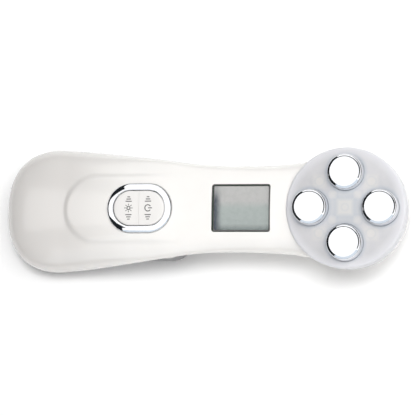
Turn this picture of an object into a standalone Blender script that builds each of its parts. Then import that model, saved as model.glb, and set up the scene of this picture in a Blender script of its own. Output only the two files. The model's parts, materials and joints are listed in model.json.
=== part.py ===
"""Hand-held facial device: a two-shell handle with two keys and a display, and a round head with four
electrodes over a lamp board. It lies on its back: +X points to the head, +Z is the front face and the
origin is under the middle of the outline, on the surface that the device rests on."""
import bpy
import bmesh
from math import cos, pi, radians, sin
from mathutils import Vector

MM = 0.001
GAP = 0.3                    # clearance between neighbouring pieces, in millimetres
WALL = 2.0                   # thickness of the two shells

# Outline of the body, in millimetres
LENGTH = 180.0
BUTT_X = -LENGTH / 2
BUTT_HALF_WIDTH = 27.0
BUTT_ROUND = 25.0            # length over which the butt end rounds off
SHOULDER_X = BUTT_X + BUTT_ROUND
BUTT_POWER = 2.4             # superellipse power of the butt outline
HALF_WIDTHS = ((SHOULDER_X, BUTT_HALF_WIDTH), (-50, 25.7), (-30, 23.2), (-14, 21.0), (0, 19.2),
               (14, 18.6), (28, 18.8), (39, 19.4), (48, 20.6), (58, 21.0))
SEAM_HEIGHTS = ((BUTT_X, 9.0), (-67, 9.6), (-50, 12.5), (-40, 15.5), (-30, 18.8), (-20, 21.4),
                (-10, 22.7), (4, 22.8), (20, 22.0), (36, 21.0), (58, 21.0))
CROWN_HEIGHTS = ((BUTT_X, 17.6), (SHOULDER_X, 21.6), (-50, 24.3), (-40, 25.6), (-30, 26.6), (-15, 27.8),
                 (0, 28.6), (15, 29.0), (39, 29.3), (58, 29.3))
NECK_FLOORS = ((BUTT_X, 5.0), (-40, 7.0), (-20, 10.0), (-2, 12.0), (20, 12.6), (36, 12.4), (58, 12.0))
FRONT_POWER = 2.3
NECK_POWER = 2.4
HUMP_POWER = 5.0
NOSE_POWER = 2.4

# Battery hump on the back, whose front end is the step that a finger rests against
HUMP_WIDTH_X = -28.0         # ahead of this the hump keeps its width
HUMP_CENTRE_X = -16.0        # where its rounded nose starts
HUMP_FRONT = 12.5            # reach of the nose
HUMP_TAPER = 0.07            # share by which the hump is narrower at its top
HUMP_INSET = 0.5             # how far the hump's wall stands inside the outline
HUMP_OVERRUN = 0.5           # depth that the flat underside cuts off the hump's round
BLEND = 3.0                  # size of the fillet between hump and neck

# Raised island round the keys
ISLAND_END_X = -60.3
ISLAND_FADE_X = -2.0
ISLAND_HALF_WIDTH = 14.4
ISLAND_HEIGHT = 1.1
ISLAND_EDGE = 1.6

# Head
HEAD_RADIUS = 25.7
HEAD_X = LENGTH / 2 - HEAD_RADIUS
HEAD_SEAM = 21.0
BOWL_POWER = 2.3
BOWL_OVERRUN = 0.5
CAP_WALL = 1.8
CAP_SHOULDER_Z = 28.9
CAP_EDGE_RADIUS = 24.3
CAP_EDGE_Z = 30.5
CAP_TOP_Z = 32.6
ELECTRODE_CIRCLE = 14.9
ELECTRODE_RADIUS = 7.9
ELECTRODE_TOP_Z = 35.8
ELECTRODE_FILLET = 1.3
ELECTRODE_BASE_Z = 29.3
STEM_RADIUS = 1.8
STEM_END_Z = 18.6
LAMP_BOARD_Z = 25.0
BOARD_THICK = 1.2
CARRIER_Z = 21.9
CARRIER_THICK = 2.2
NUT_THICK = 1.8

# Keys, set on the island in a frame that leans with it
KEY_X = -25.9
KEY_LEAN = radians(3.5)
KEY_SURFACE_Z = 27.7
BEZEL_HALF_STRAIGHT = 3.9
BEZEL_RADIUS = 10.7
BEZEL_WIDTH = 2.9
BEZEL_RISE = 1.1
BEZEL_DEPTH = 2.2
KEY_RISE = 0.7
KEY_DEPTH = 2.6
KEY_SPLIT = 0.3
KEY_POST = 1.3               # mean length of the post under each key
KEY_POST_RADIUS = 1.5
KEY_POST_X = 5.0

# Display
DISPLAY_X = 18.85
DISPLAY_HALF_LENGTH = 12.8
DISPLAY_HALF_WIDTH = 10.25
DISPLAY_CORNER = 1.1
LENS_THICK = 1.2

# Boards, cell and socket
MAIN_BOARD_Z = 19.4
MAIN_BOARD_X = (-45.0, 32.3)
MAIN_BOARD_HALF_WIDTH = 12.6
CELL_RADIUS = 7.0
CELL_X = (-61.0, -11.0)
CELL_Z = 9.9
SOCKET_Z = 6.2
SOCKET_MOUTH_X = -88.3
SOCKET_SIZE = (7.0, 7.4, 2.8)
SOCKET_WALL = 0.4

# Screws: place in plan, the face that each head seats on, and the end of its shank
SCREW_HEAD_RADIUS = 2.1
SCREW_SHANK_RADIUS = 1.0
BOSS_RADIUS = 3.0
SCREWS = ((-73.0, 12.0, 3.4, 13.5), (-73.0, -12.0, 3.4, 13.5),
          (36.5, 10.5, 15.6, 25.0), (36.5, -10.5, 15.6, 25.0))
BOSS_FOOT = 1.0              # depth of the back shell's bosses below the seats

OUTER_STEPS = 7              # fineness of the shells' outside
INNER_STEPS = 5              # fineness of their inside


def smooth_table(table, x):
    """Cubic through the table's points, flat beyond its ends."""
    if x <= table[0][0]:
        return table[0][1]
    if x >= table[-1][0]:
        return table[-1][1]
    i = next(k for k in range(1, len(table)) if x <= table[k][0]) - 1
    (x0, y0), (x1, y1) = table[i], table[i + 1]

    def slope(k):
        lo, hi = max(k - 1, 0), min(k + 1, len(table) - 1)
        return (table[hi][1] - table[lo][1]) / (table[hi][0] - table[lo][0])

    span = x1 - x0
    t = (x - x0) / span
    return ((2 * t**3 - 3 * t**2 + 1) * y0 + (t**3 - 2 * t**2 + t) * span * slope(i)
            + (3 * t**2 - 2 * t**3) * y1 + (t**3 - t**2) * span * slope(i + 1))


def superellipse(u, power):
    """Height over a unit superellipse at u, from 1 at 0 to 0 at 1."""
    return max(0.0, 1.0 - min(abs(u), 1.0) ** power) ** (1.0 / power)


def smoothstep(u):
    u = min(max(u, 0.0), 1.0)
    return u * u * (3 - 2 * u)


def butt_round(x, inset):
    return superellipse((SHOULDER_X - x) / (BUTT_ROUND - inset), BUTT_POWER) if x < SHOULDER_X else 1.0


def island_rise(x, y):
    """Height of the raised island over the front surface."""
    round_x = ISLAND_END_X + ISLAND_HALF_WIDTH
    across = abs(y)
    if x < round_x:
        reach = ISLAND_HALF_WIDTH - Vector((x - round_x, across)).length
    else:
        reach = ISLAND_HALF_WIDTH - across
    fade = 1.0 - smoothstep((x - KEY_X) / (ISLAND_FADE_X - KEY_X))
    return ISLAND_HEIGHT * fade * smoothstep(reach / ISLAND_EDGE + 0.5)


def front_arc(x, inset, steps):
    """Points over the front at x, from -Y to +Y."""
    end = butt_round(x, inset)
    width = (smooth_table(HALF_WIDTHS, x) - inset) * end
    seam = smooth_table(SEAM_HEIGHTS, x)
    rise = (smooth_table(CROWN_HEIGHTS, x) - seam - inset) * end
    points = []
    for k in range(steps + 1):
        a = pi * k / steps
        y = -width * abs(cos(a)) ** (2 / FRONT_POWER) * (1 if cos(a) > 0 else -1)
        z = seam + rise * max(sin(a), 0.0) ** (2 / FRONT_POWER)
        if inset < WALL:
            z += island_rise(x, y)
        points.append((y, z))
    return points


def front_height(x, y, inset):
    """Height of the front surface, island aside."""
    width = smooth_table(HALF_WIDTHS, x) - inset
    seam = smooth_table(SEAM_HEIGHTS, x)
    rise = smooth_table(CROWN_HEIGHTS, x) - seam - inset
    end = butt_round(x, inset)
    return seam + rise * end * superellipse(y / (width * end), FRONT_POWER)


def blended(a, b, reach):
    """The larger of two values, rounded off where they are closer than reach."""
    return max(a, b) + max(reach - abs(a - b), 0.0) ** 2 / (4 * reach + 1e-9)


def back_arc(x, inset, steps):
    """Points under the back at x, from +Y to -Y: rows down the neck, then rows down the hump below it."""
    end = butt_round(x, inset)
    seam = smooth_table(SEAM_HEIGHTS, x)
    width = (smooth_table(HALF_WIDTHS, x) - inset) * end
    neck_depth = (seam - smooth_table(NECK_FLOORS, x) - inset) * end
    neck_floor = max(seam - neck_depth, inset)
    behind = min(x, HUMP_WIDTH_X)
    hump_top = smooth_table(SEAM_HEIGHTS, behind)
    hump_depth = (hump_top + HUMP_OVERRUN - inset) * end
    hump_width = (smooth_table(HALF_WIDTHS, behind) - inset - HUMP_INSET) * end
    ahead = max(x - HUMP_CENTRE_X, 0.0) / (HUMP_FRONT - inset)

    def hump_half(z):
        flank = superellipse(max(hump_top - z, 0.0) / hump_depth, HUMP_POWER)
        taper = 1 - HUMP_TAPER * z / hump_top
        return hump_width * taper * flank * superellipse(ahead / flank, NOSE_POWER) if flank > ahead else 0.0

    low = min(neck_floor, max(hump_top - hump_depth * superellipse(ahead, HUMP_POWER), inset))
    half = []
    for k in range(steps + 1):
        a = pi / 2 * k / steps
        drop = sin(a) ** (2 / NECK_POWER)
        z = max(seam - neck_depth * drop, inset)
        neck_half = width * max(cos(a), 0.0) ** (2 / NECK_POWER)
        half.append((blended(neck_half, hump_half(z), BLEND * drop ** 2), z))
    for k in range(1, steps + 1):
        z = neck_floor + (low - neck_floor) * sin(pi / 2 * k / steps)
        half.append((hump_half(z), z) if low < neck_floor else (0.0, neck_floor))
    return half + [(-y, z) for y, z in reversed(half)]


def station_places(first, last, fine):
    """X places of the sections, close together at the butt and at the hump's step."""
    butt = [SHOULDER_X - (SHOULDER_X - first) * cos(pi / 2 * k / fine) for k in range(fine + 1)]
    straight = [SHOULDER_X + (HUMP_CENTRE_X - SHOULDER_X) * k / 6 for k in range(1, 7)]
    step = [HUMP_CENTRE_X + HUMP_FRONT * sin(pi / 2 * k / fine) for k in range(1, fine + 1)]
    neck_start = step[-1]
    neck = [neck_start + (last - neck_start) * k / fine for k in range(1, fine + 1)]
    return butt + straight + step + neck


def new_object(name, mesh, collection):
    obj = bpy.data.objects.new(name, mesh)
    collection.objects.link(obj)
    return obj


def loft(name, sections, collection):
    """Closed solid through rings of points, all of one length, listed from -X to +X."""
    bm = bmesh.new()
    rings = [[bm.verts.new(Vector(p) * MM) for p in ring] for ring in sections]
    count = len(rings[0])
    for near, far in zip(rings, rings[1:]):
        for k in range(count):
            n = (k + 1) % count
            bm.faces.new((near[k], near[n], far[n], far[k]))
    bm.faces.new(list(reversed(rings[0])))
    bm.faces.new(rings[-1])
    bmesh.ops.remove_doubles(bm, verts=bm.verts, dist=1e-7)
    bmesh.ops.recalc_face_normals(bm, faces=bm.faces)
    mesh = bpy.data.meshes.new(name)
    bm.to_mesh(mesh)
    bm.free()
    return new_object(name, mesh, collection)


def half_body(name, front, inset, overrun, collection, last=58.0):
    """Solid of one half of the handle, closed at the seam, which it passes by overrun."""
    first = BUTT_X + inset + 0.02
    side = 1 if front else -1
    fine = OUTER_STEPS if inset < WALL else INNER_STEPS
    sections = []
    for x in station_places(first, last - inset * 0.01, fine):
        arc = front_arc(x, inset, 2 * fine) if front else back_arc(x, inset, fine)
        level = smooth_table(SEAM_HEIGHTS, x) - side * overrun
        arc[0] = (arc[0][0], level)
        arc[-1] = (arc[-1][0], level)
        sections.append([(x, y, z) for y, z in arc])
    return loft(name, sections, collection)


def boolean(target, tool, operation):
    """Apply the target's modifiers and a Boolean, and drop the tool."""
    modifier = target.modifiers.new(operation.title(), "BOOLEAN")
    modifier.operation = operation
    modifier.solver = "EXACT"
    modifier.object = tool
    mesh = bpy.data.meshes.new_from_object(target.evaluated_get(bpy.context.evaluated_depsgraph_get()))
    target.modifiers.clear()
    old = target.data
    target.data = mesh
    mesh.name = target.name
    bpy.data.meshes.remove(old)
    bpy.data.objects.remove(tool)


def box(name, low, high, collection, bevel=0.0):
    """Box between two corners, in millimetres."""
    low, high = Vector(low) * MM, Vector(high) * MM
    bm = bmesh.new()
    bmesh.ops.create_cube(bm, size=1.0)
    size = high - low
    bmesh.ops.scale(bm, vec=size, verts=bm.verts)
    mesh = bpy.data.meshes.new(name)
    bm.to_mesh(mesh)
    bm.free()
    obj = new_object(name, mesh, collection)
    obj.location = (low + high) / 2
    if bevel:
        add_bevel(obj, bevel)
    return obj


def add_bevel(obj, width, segments=2):
    modifier = obj.modifiers.new("Bevel", "BEVEL")
    modifier.width = width * MM
    modifier.segments = segments
    modifier.limit_method = "ANGLE"
    modifier.angle_limit = radians(40)
    return modifier


def cylinder(name, centre, radius, length, collection, segments=20, axis="Z"):
    """Cylinder whose centre is given, in millimetres."""
    bm = bmesh.new()
    bmesh.ops.create_cone(bm, cap_ends=True, segments=segments, radius1=radius * MM, radius2=radius * MM,
                          depth=length * MM)
    mesh = bpy.data.meshes.new(name)
    bm.to_mesh(mesh)
    bm.free()
    obj = new_object(name, mesh, collection)
    obj.location = Vector(centre) * MM
    if axis == "X":
        obj.rotation_euler = (0, pi / 2, 0)
    return obj


def turned(name, profile, centre, collection, steps=32, ring=False):
    """Solid of revolution about a vertical axis. The profile starts and ends on the axis, or is a ring's loop."""
    bm = bmesh.new()
    columns = []
    for i in range(steps):
        a = 2 * pi * i / steps
        columns.append([bm.verts.new(Vector((r * cos(a), r * sin(a), z)) * MM) for r, z in profile])
    links = list(range(1, len(profile))) + ([0] if ring else [])
    for i, column in enumerate(columns):
        following = columns[(i + 1) % steps]
        for k, n in enumerate(links):
            bm.faces.new((column[k], following[k], following[n], column[n]))
    bmesh.ops.remove_doubles(bm, verts=bm.verts, dist=1e-7)
    bmesh.ops.recalc_face_normals(bm, faces=bm.faces)
    mesh = bpy.data.meshes.new(name)
    bm.to_mesh(mesh)
    bm.free()
    obj = new_object(name, mesh, collection)
    obj.location = Vector((centre[0], centre[1], 0)) * MM
    return obj


def round_end(side, half_straight, radius, steps=8):
    """Half circle that closes a stadium outline at its -X or +X end, anticlockwise."""
    angles = [pi * k / steps - pi / 2 for k in range(steps + 1)]
    return [(side * (half_straight + radius * cos(a)), side * radius * sin(a)) for a in angles]


def stadium(half_straight, radius, steps=8):
    """Outline with two round ends along X."""
    return round_end(1, half_straight, radius, steps) + round_end(-1, half_straight, radius, steps)


def rounded_rectangle(half_length, half_width, radius, steps=3):
    """Outline of a rectangle with round corners, anticlockwise."""
    points = []
    for quarter, (sx, sy) in enumerate(((1, 1), (-1, 1), (-1, -1), (1, -1))):
        for k in range(steps + 1):
            a = pi / 2 * (quarter + k / steps)
            points.append((sx * (half_length - radius) + radius * cos(a),
                           sy * (half_width - radius) + radius * sin(a)))
    return points


def prism(name, outline, low, high, collection, bevel=0.0):
    """Upright prism on an outline in X and Y, with both rims bevelled."""
    bm = bmesh.new()
    base = [bm.verts.new((x * MM, y * MM, low * MM)) for x, y in outline]
    top = [bm.verts.new((x * MM, y * MM, high * MM)) for x, y in outline]
    count = len(outline)
    bm.faces.new(list(reversed(base)))
    bm.faces.new(top)
    for k in range(count):
        n = (k + 1) % count
        bm.faces.new((base[k], base[n], top[n], top[k]))
    bmesh.ops.recalc_face_normals(bm, faces=bm.faces)
    mesh = bpy.data.meshes.new(name)
    bm.to_mesh(mesh)
    bm.free()
    obj = new_object(name, mesh, collection)
    if bevel:
        modifier = add_bevel(obj, bevel)
        modifier.angle_limit = radians(60)
    return obj


def band(name, half_straight, radius, profile, centre, collection, steps=12):
    """Closed ring along a stadium: the profile gives steps outwards and upwards from its middle line."""
    rings = []
    for side in (1, -1):
        for k in range(steps + 1):
            a = pi * k / steps - pi / 2
            rings.append([(side * (half_straight + (radius + out) * cos(a)), side * (radius + out) * sin(a), up)
                          for out, up in profile])
    bm = bmesh.new()
    verts = [[bm.verts.new(Vector(p) * MM) for p in ring] for ring in rings]
    for i, ring in enumerate(verts):
        following = verts[(i + 1) % len(verts)]
        for k in range(len(profile)):
            n = (k + 1) % len(profile)
            bm.faces.new((ring[k], following[k], following[n], ring[n]))
    bmesh.ops.remove_doubles(bm, verts=bm.verts, dist=1e-7)
    bmesh.ops.recalc_face_normals(bm, faces=bm.faces)
    mesh = bpy.data.meshes.new(name)
    bm.to_mesh(mesh)
    bm.free()
    obj = new_object(name, mesh, collection)
    obj.location = Vector(centre) * MM
    return obj


def strip(name, path, width, thick, collection):
    """Flat cable along a path in X and Z."""
    sections = []
    for k, (x, z) in enumerate(path):
        before, after = path[max(k - 1, 0)], path[min(k + 1, len(path) - 1)]
        along = Vector((after[0] - before[0], after[1] - before[1])).normalized()
        dx, dz = -along.y * thick / 2, along.x * thick / 2
        sections.append([(x - dx, -width / 2, z - dz), (x - dx, width / 2, z - dz),
                         (x + dx, width / 2, z + dz), (x + dx, -width / 2, z + dz)])
    return loft(name, sections, collection)


def wire(name, path, radius, collection):
    """Round wire through the path's points, in millimetres."""
    curve = bpy.data.curves.new(name, "CURVE")
    curve.dimensions = "3D"
    curve.bevel_depth = radius * MM
    curve.bevel_resolution = 1
    curve.use_fill_caps = True
    spline = curve.splines.new("POLY")
    spline.points.add(len(path) - 1)
    for point, place in zip(spline.points, path):
        point.co = (*(Vector(place) * MM), 1)
    return new_object(name, curve, collection)


def material(name, colour, roughness, metallic=0.0, alpha=1.0):
    mat = bpy.data.materials.new(name)
    mat.use_nodes = True
    shader = mat.node_tree.nodes["Principled BSDF"]
    shader.inputs["Base Color"].default_value = (*colour, 1)
    shader.inputs["Roughness"].default_value = roughness
    shader.inputs["Metallic"].default_value = metallic
    shader.inputs["Alpha"].default_value = alpha
    return mat


def finish(obj, mat, smooth=True):
    """Give an object its material and shading."""
    if isinstance(obj.data, bpy.types.Mesh):
        obj.data.materials.clear()
        if smooth:
            obj.data.shade_smooth()
            obj.data.set_sharp_from_angle(angle=radians(35))
    obj.data.materials.append(mat)
    return obj


def make_front_shell(parts, cutters):
    """Front of the handle, open for the keys, the display and the head's cap."""
    shell = half_body("front_shell", True, 0.0, -GAP / 2, parts)
    boolean(shell, half_body("front_hollow", True, WALL, 1.0, cutters), "DIFFERENCE")
    for x, y, seat, end in SCREWS:
        low = smooth_table(SEAM_HEIGHTS, x) + GAP / 2 + 0.1
        high = front_height(x, y, WALL) + 0.7
        boolean(shell, cylinder("boss", (x, y, (low + high) / 2), BOSS_RADIUS, high - low, cutters), "UNION")
        hole = cylinder("hole", (x, y, end + GAP - 10), SCREW_SHANK_RADIUS + GAP, 20, cutters, 12)
        boolean(shell, hole, "DIFFERENCE")
    pocket = prism("pocket", stadium(BEZEL_HALF_STRAIGHT, BEZEL_RADIUS + GAP, 12), -8, 8, cutters)
    pocket.location = Vector((KEY_X, 0, KEY_SURFACE_Z)) * MM
    pocket.rotation_euler = (0, -KEY_LEAN, 0)
    boolean(shell, pocket, "DIFFERENCE")
    opening = rounded_rectangle(DISPLAY_HALF_LENGTH, DISPLAY_HALF_WIDTH, DISPLAY_CORNER)
    window = prism("window", opening, 22.5, 40, cutters)
    window.location.x = DISPLAY_X * MM
    boolean(shell, window, "DIFFERENCE")
    cap_room = cylinder("cap_room", (HEAD_X, 0, 30), HEAD_RADIUS + GAP, 40, cutters, 48)
    boolean(shell, cap_room, "DIFFERENCE")
    return shell


def bowl_profile(inset):
    """Outline of the head's back from its rim to the axis."""
    radius = HEAD_RADIUS - inset
    depth = HEAD_SEAM + BOWL_OVERRUN - inset
    rim = HEAD_SEAM - GAP / 2 if inset == 0 else HEAD_SEAM + 5
    points = [(0, rim), (radius, rim), (radius, HEAD_SEAM - 1)]
    for k in range(2, 9):
        a = pi / 2 * k / 9
        z = HEAD_SEAM - depth * sin(a) ** (2 / BOWL_POWER)
        points.append((radius * cos(a) ** (2 / BOWL_POWER), max(z, inset)))
    return points + [(0, inset)]


def make_back_shell(parts, cutters):
    """Back of the handle with the battery hump, joined to the bowl behind the head."""
    shell = half_body("back_shell", False, 0.0, -GAP / 2, parts)
    bowl = turned("bowl", bowl_profile(0.0), (HEAD_X, 0), cutters, 48)
    boolean(shell, bowl, "UNION")
    boolean(shell, half_body("back_hollow", False, WALL, 1.0, cutters), "DIFFERENCE")
    boolean(shell, turned("bowl_hollow", bowl_profile(WALL), (HEAD_X, 0), cutters, 40), "DIFFERENCE")
    for x, y, seat, end in SCREWS:
        low, high = seat - BOSS_FOOT, smooth_table(SEAM_HEIGHTS, x) - GAP / 2 - 0.1
        boolean(shell, cylinder("boss", (x, y, (low + high) / 2), BOSS_RADIUS + 0.6, high - low, cutters), "UNION")
        head_room = cylinder("head_room", (x, y, seat - 10), SCREW_HEAD_RADIUS + GAP, 20, cutters, 16)
        boolean(shell, head_room, "DIFFERENCE")
        hole = cylinder("hole", (x, y, seat), SCREW_SHANK_RADIUS + GAP, 40, cutters, 12)
        boolean(shell, hole, "DIFFERENCE")
    length, width, height = SOCKET_SIZE
    slot = box("slot", (BUTT_X - 5, -width / 2 - GAP, SOCKET_Z - height / 2 - GAP),
               (SOCKET_MOUTH_X + length + GAP, width / 2 + GAP, SOCKET_Z + height / 2 + GAP), cutters)
    boolean(shell, slot, "DIFFERENCE")
    return shell


def make_cap(parts, cutters):
    """Frosted cap over the lamps, with a hole for each electrode."""
    outer, inner = [], []
    for inset, points in ((0.0, outer), (CAP_WALL, inner)):
        points.append((HEAD_RADIUS - inset, HEAD_SEAM + GAP))
        for k in range(5):
            a = pi / 2 * k / 4
            fillet = HEAD_RADIUS - CAP_EDGE_RADIUS
            points.append((CAP_EDGE_RADIUS - inset + fillet * cos(a),
                           CAP_SHOULDER_Z - inset * 0.6 + (CAP_EDGE_Z - CAP_SHOULDER_Z) * sin(a)))
        for k in range(1, 4):
            r = (CAP_EDGE_RADIUS - inset) * (1 - k / 3)
            rise = CAP_TOP_Z - CAP_EDGE_Z
            points.append((r, CAP_TOP_Z - inset - (rise - inset * 0.4) * (r / (CAP_EDGE_RADIUS - inset)) ** 2))
    profile = list(reversed(outer)) + inner
    cap = turned("head_cap", profile, (HEAD_X, 0), parts, 48)
    for x, y in electrode_places():
        hole = cylinder("hole", (x, y, 30), ELECTRODE_RADIUS + GAP, 20, cutters, 24)
        boolean(cap, hole, "DIFFERENCE")
    return cap


def electrode_places():
    return [(HEAD_X + ELECTRODE_CIRCLE * cos(pi / 2 * k), ELECTRODE_CIRCLE * sin(pi / 2 * k)) for k in range(4)]


def make_electrode(name, place, parts):
    """Plated button on a stem."""
    rim = ELECTRODE_RADIUS - ELECTRODE_FILLET
    profile = [(0, ELECTRODE_TOP_Z)]
    for k in range(4):
        a = pi / 2 * k / 3
        profile.append((rim + ELECTRODE_FILLET * sin(a), ELECTRODE_TOP_Z - ELECTRODE_FILLET * (1 - cos(a))))
    profile += [(ELECTRODE_RADIUS, ELECTRODE_BASE_Z), (STEM_RADIUS, ELECTRODE_BASE_Z),
                (STEM_RADIUS, STEM_END_Z), (0, STEM_END_Z)]
    return turned(name, profile, place, parts, 24)


def drilled_disc(name, radius, low, high, hole_radius, parts, cutters):
    """Round board or plate round the head's axis, with a hole for each stem."""
    disc = cylinder(name, (HEAD_X, 0, (low + high) / 2), radius, high - low, parts, 32)
    for x, y in electrode_places():
        boolean(disc, cylinder("hole", (x, y, low), hole_radius, 20, cutters, 10), "DIFFERENCE")
    return disc


def ring_plate(name, centre, outer, inner, length, parts, segments=6):
    """Flat ring with polygon sides, such as a nut."""
    half = length / 2
    return turned(name, ((outer, centre[2] + half), (outer, centre[2] - half),
                         (inner, centre[2] - half), (inner, centre[2] + half)), centre, parts, segments, True)


def key_outline(side, half_straight, radius):
    """Half of the stadium inside the bezel, on one side of the split."""
    split = side * KEY_SPLIT / 2
    return round_end(side, half_straight, radius) + [(split, side * radius), (split, -side * radius)]


def make_keys(parts, cutters, finishes):
    """Bezel and the two half keys, in a frame that leans with the island."""
    frame = bpy.data.objects.new("key_frame", None)
    parts.objects.link(frame)
    frame.location = Vector((KEY_X, 0, KEY_SURFACE_Z)) * MM
    frame.rotation_euler = (0, -KEY_LEAN, 0)
    half = BEZEL_WIDTH / 2
    profile = [(half, -BEZEL_DEPTH), (half, 0.1)]
    for k in range(1, 6):
        a = pi * k / 6
        profile.append((half * cos(a), 0.1 + (BEZEL_RISE - 0.1) * sin(a)))
    profile += [(-half, 0.1), (-half, -BEZEL_DEPTH)]
    bezel = band("button_bezel", BEZEL_HALF_STRAIGHT, BEZEL_RADIUS - half, profile, (0, 0, 0), parts)
    bezel.parent = frame
    finish(bezel, finishes["chrome"])
    inner = BEZEL_RADIUS - BEZEL_WIDTH - GAP
    for name, side in (("led_select_key", -1), ("power_key", 1)):
        key = prism(name, key_outline(side, BEZEL_HALF_STRAIGHT, inner), -KEY_DEPTH, KEY_RISE, parts, 0.35)
        reach = KEY_POST + side * KEY_POST_X * sin(KEY_LEAN)
        post = cylinder("post", (side * KEY_POST_X, 0, -KEY_DEPTH), KEY_POST_RADIUS, 2 * reach, cutters, 12)
        boolean(key, post, "UNION")
        key.parent = frame
        finish(key, finishes["white"])


def make_display(parts, cutters, finishes):
    """Window in the front shell, and the frame, panel, light guide and contact strip under it."""
    outline = rounded_rectangle(DISPLAY_HALF_LENGTH - GAP, DISPLAY_HALF_WIDTH - GAP, DISPLAY_CORNER - GAP / 2)
    window = prism("display_window", outline, 24, 32, parts)
    window.location.x = DISPLAY_X * MM
    boolean(window, half_body("skin", True, 0.1, 0.0, cutters), "INTERSECT")
    boolean(window, half_body("under", True, 0.1 + LENS_THICK, 1.0, cutters), "DIFFERENCE")
    finish(window, finishes["clear"])

    def block(name, half_length, half_width, low, high, mat, bevel=0.2):
        obj = box(name, (DISPLAY_X - half_length, -half_width, low), (DISPLAY_X + half_length, half_width, high),
                  parts, bevel)
        return finish(obj, finishes[mat])

    frame = block("display_frame", 12.4, 9.8, 24.4, 26.2, "black", 0)
    boolean(frame, box("frame_hole", (DISPLAY_X - 11.5, -8.9, 20), (DISPLAY_X + 11.5, 8.9, 30), cutters), "DIFFERENCE")
    block("lcd_panel", 11.2, 8.6, 24.9, 26.1, "lcd")
    block("lcd_backlight", 11.2, 8.2, 22.6, 24.1, "milk")
    strip_y = 9.2
    contact = box("lcd_contact_strip", (DISPLAY_X - 10.5, strip_y - 0.5, 20.9), (DISPLAY_X + 10.5, strip_y + 0.5, 24.1),
                  parts, 0.1)
    finish(contact, finishes["rubber"])


def make_head(parts, cutters, finishes):
    """Cap, electrodes with their nuts, lamp board with its lamps, carrier and seal."""
    finish(make_cap(parts, cutters), finishes["frosted"])
    for k, place in enumerate(electrode_places(), 1):
        finish(make_electrode(f"electrode_{k}", place, parts), finishes["chrome"])
        low = CARRIER_Z - GAP - NUT_THICK
        nut = ring_plate(f"electrode_nut_{k}", (*place, low + NUT_THICK / 2), 3.4, STEM_RADIUS + GAP, NUT_THICK, parts)
        finish(nut, finishes["brass"], False)
    board = drilled_disc("lamp_board", 22.3, LAMP_BOARD_Z, LAMP_BOARD_Z + BOARD_THICK, STEM_RADIUS + 0.6,
                         parts, cutters)
    finish(board, finishes["white_board"])
    carrier = drilled_disc("electrode_carrier", 22.8, CARRIER_Z, CARRIER_Z + CARRIER_THICK, STEM_RADIUS + GAP,
                           parts, cutters)
    boolean(carrier, box("cable_slot", (42.8, -4.4, 15), (45.8, 4.4, 30), cutters), "DIFFERENCE")
    finish(carrier, finishes["white"])
    seal_profile = [(22.9 + 0.55 * cos(pi / 3 * k), 20.8 + 0.55 * sin(pi / 3 * k)) for k in range(6)]
    seal = turned("cap_seal", seal_profile, (HEAD_X, 0), parts, 32, True)
    finish(seal, finishes["rubber"])
    lamp_low = LAMP_BOARD_Z + BOARD_THICK + GAP
    lamps = [("lamp_centre", 0, 0, 2.5)]
    for ring, reach in (("inner", 5.1), ("outer", 11.0)):
        for k in range(4):
            a = pi / 4 + pi / 2 * k
            lamps.append((f"lamp_{ring}_{k + 1}", reach * 2 ** 0.5 * cos(a), reach * 2 ** 0.5 * sin(a), 1.75))
    for name, x, y, half in lamps:
        lamp = box(name, (HEAD_X + x - half, y - half, lamp_low), (HEAD_X + x + half, y + half, lamp_low + 1.4), parts)
        finish(lamp, finishes["milk"], False)


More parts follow.
